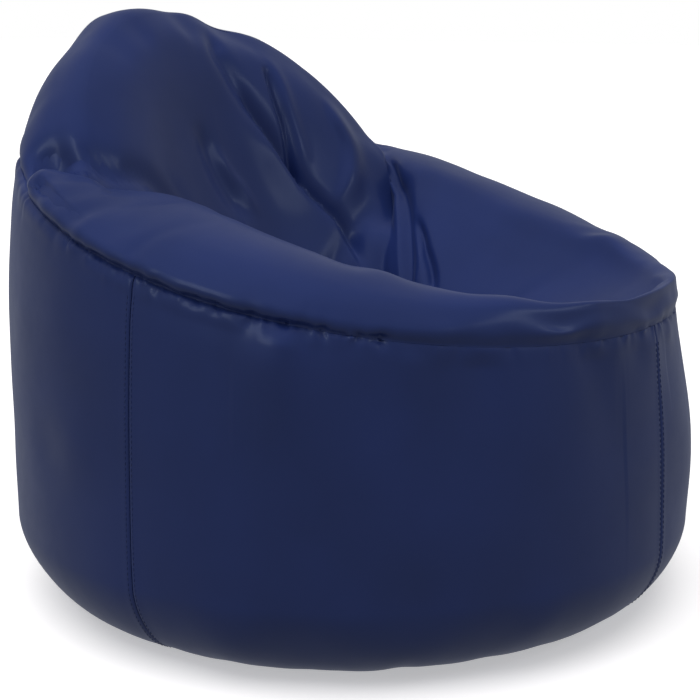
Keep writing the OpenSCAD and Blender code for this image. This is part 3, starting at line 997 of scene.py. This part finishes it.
def underlap(name, turn, lift, half_length, material, slot):
    """A strip of cloth over the zip, which hides what is above it from below."""
    section = [(-0.0140, 0.0067), (-0.0137, 0.0066), (-0.0100, 0.0066), (0, 0.0066),
               (0.0100, 0.0066), (0.0137, 0.0066), (0.0140, 0.0067), (0.0137, 0.0070),
               (0.0100, 0.0070), (0, 0.0070), (-0.0100, 0.0070), (-0.0137, 0.0070)]
    strip(name, section, half_length, 180, turn, lift, material, slot)


def zip_coil(name, turn, lift, material, slot, node):
    """A nylon coil: a flattened helix of one wire."""
    turns = round(2 * COIL_HALF / COIL_PITCH)
    steps = 10
    k = np.arange(turns * steps + 1)
    angle = 2 * math.pi * k / steps
    wire, half_w, half_h = 0.00033, 0.00104, 0.00044
    radial = np.stack([0 * k, np.cos(angle), np.sin(angle)], -1)
    line = np.stack([(k / k[-1] - 0.5) * 2 * COIL_HALF,
                     0.0020 + half_w * np.cos(angle), 0.0037 + half_h * np.sin(angle)], -1)
    ahead = unit(np.gradient(line, axis=0))
    across = unit(np.cross(ahead, radial))
    radial = np.cross(across, ahead)
    sides = 5
    t = np.arange(sides) * 2 * math.pi / sides
    ring = radial[:, None] * np.cos(t)[:, None] + across[:, None] * np.sin(t)[:, None]
    verts = turned_up(line[:, None] + wire * ring, turn, lift).reshape(-1, 3)
    faces = quad_faces(len(k), sides, True)
    faces.append(list(range(sides - 1, -1, -1)))
    faces.append(list(range((len(k) - 1) * sides, len(k) * sides)))
    return show(mesh_object(name, verts, faces), material, "bag", slot, node)


def zip_line_stitches(name, turn, lift, material, slot):
    """The stitching that holds the hem and the tape, seen in a shallow groove underneath."""
    x = np.linspace(-SEWN_HALF, SEWN_HALF, 300)
    line = np.stack([x, 0 * x + 0.012, 0 * x + 0.00045], -1)
    down = np.stack([0 * x, 0 * x, 0 * x - 1], -1)
    return stitches(name, turned_up(line, turn, lift), down, material, slot,
                    0.0032, 0.0024, 0.00020)


LINER_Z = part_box("liner_base_left")[0].z
LINER_BASE_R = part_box("liner_base_left")[1].x
COVER_BASE_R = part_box("base_panel_back")[1].y


def closures():
    for place, turn in (("back", 0), ("front", 180)):
        base_half(f"base_cover_{place}", COVER_BASE_R, COVER_T, turn, 0, LEATHER, "cover",
                  f"base_panel_{place}")
        hem(f"hem_{place}", COVER_T, turn, 0, LEATHER, "cover")
        zip_tape(f"zip_tape_{place}_woven", turn, 0, NAVY_TAPE, "zip_tape", f"zip_tape_{place}")
        zip_coil(f"zip_coil_{place}_helix", turn, 0, NAVY_COIL, "zip_coil", f"zip_coil_{place}")
        zip_line_stitches(f"hem_thread_{place}", turn, 0, THREAD, "cover")
    for place, turn in (("left", -90), ("right", 90)):
        base_half(f"liner_base_{place}_cloth", LINER_BASE_R, LINER_T, turn, LINER_Z, LINING,
                  "liner", f"liner_base_{place}")
        hem(f"liner_hem_{place}", LINER_T, turn, LINER_Z, LINING, "liner")
        zip_tape(f"liner_zip_tape_{place}_woven", turn, LINER_Z, LINING, "liner_zip_tape",
                 f"liner_zip_tape_{place}")
        zip_coil(f"liner_zip_coil_{place}_helix", turn, LINER_Z, WHITE_THREAD, "liner_zip_coil",
                 f"liner_zip_coil_{place}")
        zip_line_stitches(f"liner_hem_thread_{place}", turn, LINER_Z, WHITE_THREAD, "liner")
    for node in ("zip_slider", "zip_top_stops", "zip_bottom_stop", "liner_zip_slider",
                 "liner_zip_top_stops", "liner_zip_bottom_stop"):
        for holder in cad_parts[node].material_slots:
            holder.material = METAL


def label():
    """A blank ribbon label, sewn down at both ends."""
    low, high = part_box("care_label")
    x = np.linspace(high.x, low.x, 40)[None, :]
    y = np.linspace(low.y, high.y, 24)[:, None]
    v = (y - low.y) / (high.y - low.y)
    z = low.z - 0.0001 + 0.0009 * np.sin(math.pi * v) * (0.7 + 0.3 * sind(2600 * x))
    grid = np.stack([x + 0 * y, y + 0 * x, z + 0 * x], -1)
    show(sheet_panel("label_ribbon", grid, 0.0003), RIBBON, "bag", "label", "care_label")
    for k, end in enumerate((low.y + 0.002, high.y - 0.002)):
        across = np.linspace(low.x + 0.001, high.x - 0.001, 60)
        line = np.stack([across, 0 * across + end, 0 * across + low.z + 0.0006], -1)
        out = np.stack([0 * across, 0 * across, 0 * across + 1], -1)
        stitches(f"label_thread_{k}", line, out, WHITE_THREAD, "label", 0.0026, 0.0020, 0.00016)


def base_binding():
    """The binding tape inside the seam between the base and the walls."""
    a = np.arange(0, 360, 1.0)
    section = np.array([(0.3575, 0.0046), (0.3570, 0.0043), (0.3500, 0.0040), (0.3420, 0.0040),
                        (0.3350, 0.0041), (0.3345, 0.0044), (0.3350, 0.0047), (0.3420, 0.0046),
                        (0.3500, 0.0046), (0.3570, 0.0049)])
    grid = np.stack([section[:, :1] * sind(a), -section[:, :1] * cosd(a),
                     section[:, 1:] + 0.0002 * sind(18 * a)], -1)
    faces = quad_faces(len(section) + 1, len(a), True)
    faces = [[k % (len(section) * len(a)) for k in face] for face in faces]
    show(mesh_object("base_binding", grid.reshape(-1, 3), faces), NAVY_TAPE, "bag", "cover")


closures()
underlap("zip_underlap", 0, 0, 0.333, NAVY_TAPE, "cover")
underlap("liner_zip_underlap", 90, LINER_Z, 0.320, LINING, "liner")
label()
base_binding()


# ---- floor, light and camera ----
def floor_material():
    mat, *_, shader = principled("pale_floor")
    shader.inputs["Base Color"].default_value = (0.84, 0.79, 0.76, 1)
    shader.inputs["Roughness"].default_value = 0.9
    shader.inputs["Emission Color"].default_value = (1, 1, 1, 1)
    shader.inputs["Emission Strength"].default_value = 0.42
    return mat


bpy.ops.mesh.primitive_plane_add(size=60, location=(0, 0, -0.0006))
ground = bpy.context.object
ground.name = "floor"
ground.data.materials.append(floor_material())
ground.visible_diffuse = False
ground.visible_glossy = False

bpy.context.scene.view_settings.view_transform = "Standard"


def studio_world(fill_strength, backdrop):
    """A soft white surround: dim as a light, and white where the camera looks past the floor."""
    world = bpy.data.worlds.new("studio")
    bpy.context.scene.world = world
    world.use_nodes = True
    nodes, links = world.node_tree.nodes, world.node_tree.links
    light = nodes["Background"]
    light.inputs["Color"].default_value = (0.92, 0.95, 1.0, 1)
    light.inputs["Strength"].default_value = fill_strength
    seen = nodes.new("ShaderNodeBackground")
    seen.inputs["Color"].default_value = (1, 1, 1, 1)
    seen.inputs["Strength"].default_value = backdrop
    ray = nodes.new("ShaderNodeLightPath")
    pick = nodes.new("ShaderNodeMixShader")
    links.new(ray.outputs["Is Camera Ray"], pick.inputs[0])
    links.new(light.outputs[0], pick.inputs[1])
    links.new(seen.outputs[0], pick.inputs[2])
    links.new(pick.outputs[0], nodes["World Output"].inputs["Surface"])


def lamp(name, kind, place, aim, power, colour, size):
    data = bpy.data.lights.new(name, kind)
    data.energy = power
    data.color = colour
    if kind == "SUN":
        data.angle = math.radians(size)
    else:
        data.shape = "RECTANGLE"
        data.size, data.size_y = size
    obj = bpy.data.objects.new(name, data)
    obj.location = place
    obj.rotation_euler = (Vector(aim) - Vector(place)).to_track_quat("-Z", "Y").to_euler()
    bpy.context.scene.collection.objects.link(obj)
    return obj


CENTRE = (0, 0, 0.4)
studio_world(0.34, 1.0)
lamp("sky_light", "SUN", (-0.4, 0.1, 3), CENTRE, 2.7, (0.93, 0.96, 1), 70).visible_glossy = False
lamp("left_strip", "AREA", (-2.4, 0.2, 1.7), CENTRE, 8, (0.78, 0.87, 1), (0.5, 1.6))
lamp("front_strip", "AREA", (0.3, -2.6, 1.9), CENTRE, 7, (0.78, 0.87, 1), (1.8, 0.5))

AZIMUTH, ELEVATION, DISTANCE = -53.9, 12.0, 2.008
SENSOR_MM, LENS_MM = 36, 76.32
AIM = Vector((0, 0, 0.33))
az, el = math.radians(AZIMUTH), math.radians(ELEVATION)
toward = Vector((math.sin(az) * math.cos(el), -math.cos(az) * math.cos(el), math.sin(el)))
data = bpy.data.cameras.new("camera")
camera = bpy.data.objects.new("camera", data)
camera.location = AIM + toward * DISTANCE
camera.rotation_euler = (-toward).to_track_quat("-Z", "Y").to_euler()
data.sensor_width = SENSOR_MM
data.lens = LENS_MM
data.shift_x = -0.0055
data.shift_y = -0.0327
bpy.context.scene.collection.objects.link(camera)
bpy.context.scene.camera = camera
